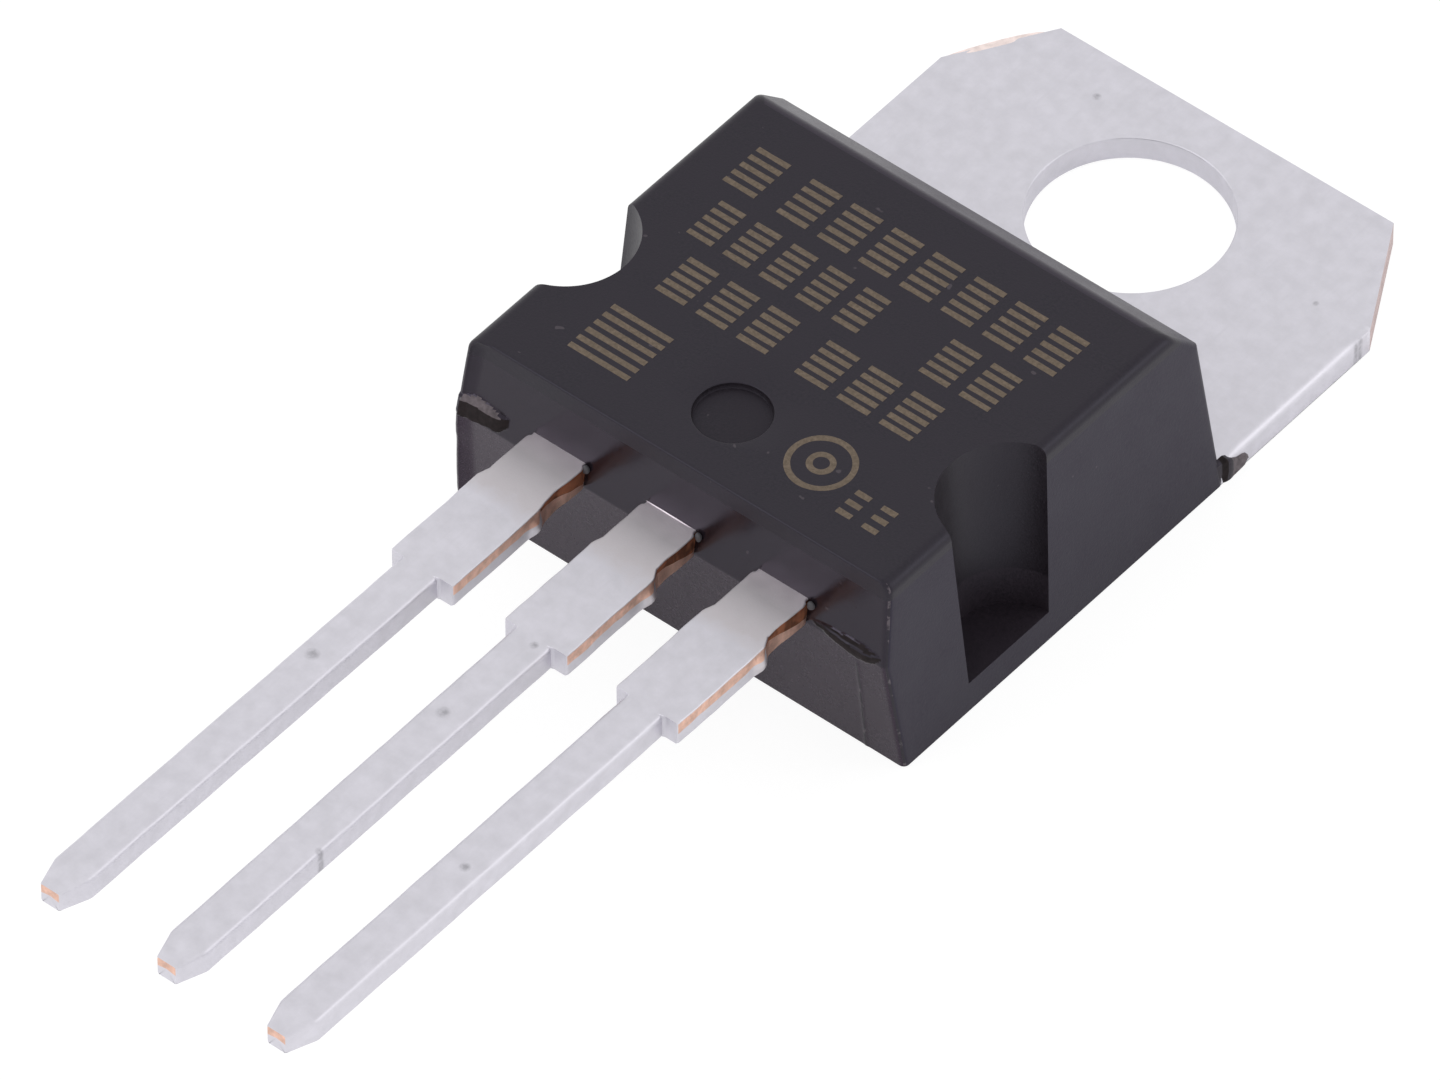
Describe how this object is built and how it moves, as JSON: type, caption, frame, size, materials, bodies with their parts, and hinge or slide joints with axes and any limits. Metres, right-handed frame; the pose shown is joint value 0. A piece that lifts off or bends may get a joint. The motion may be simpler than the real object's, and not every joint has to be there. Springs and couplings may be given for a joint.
{
  "type": "voltage regulator",
  "caption": "Linear voltage regulator in a flat moulded power package: dark epoxy case, tin-plated screw tab with a round hole, and straight leads in a row.",
  "frame": {"origin": "centre of the tab's mounting hole on the flat back face of the tab", "axes": "+Z along the hole's axis, from the back face to the marked front face; +Y towards the free end of the tab, away from the leads; +X to the right seen from the front with the tab up"},
  "size_m": [0.0102, 0.029, 0.0045],
  "materials": {
    "epoxy": "fine matte moulding",
    "tinned_copper": "matte tin plating",
    "silicon": "polished",
    "solder": "dull",
    "bond_wire": "bright"
  },
  "bodies": {
    "root": {"moulded_case": "epoxy", "tab_with_centre_lead": "tinned_copper", "input_lead": "tinned_copper", "output_lead": "tinned_copper", "silicon_die": "silicon", "die_attach": "solder", "input_wire": "bond_wire", "output_wire": "bond_wire", "ground_wire": "bond_wire"}
  },
  "joints": []
}
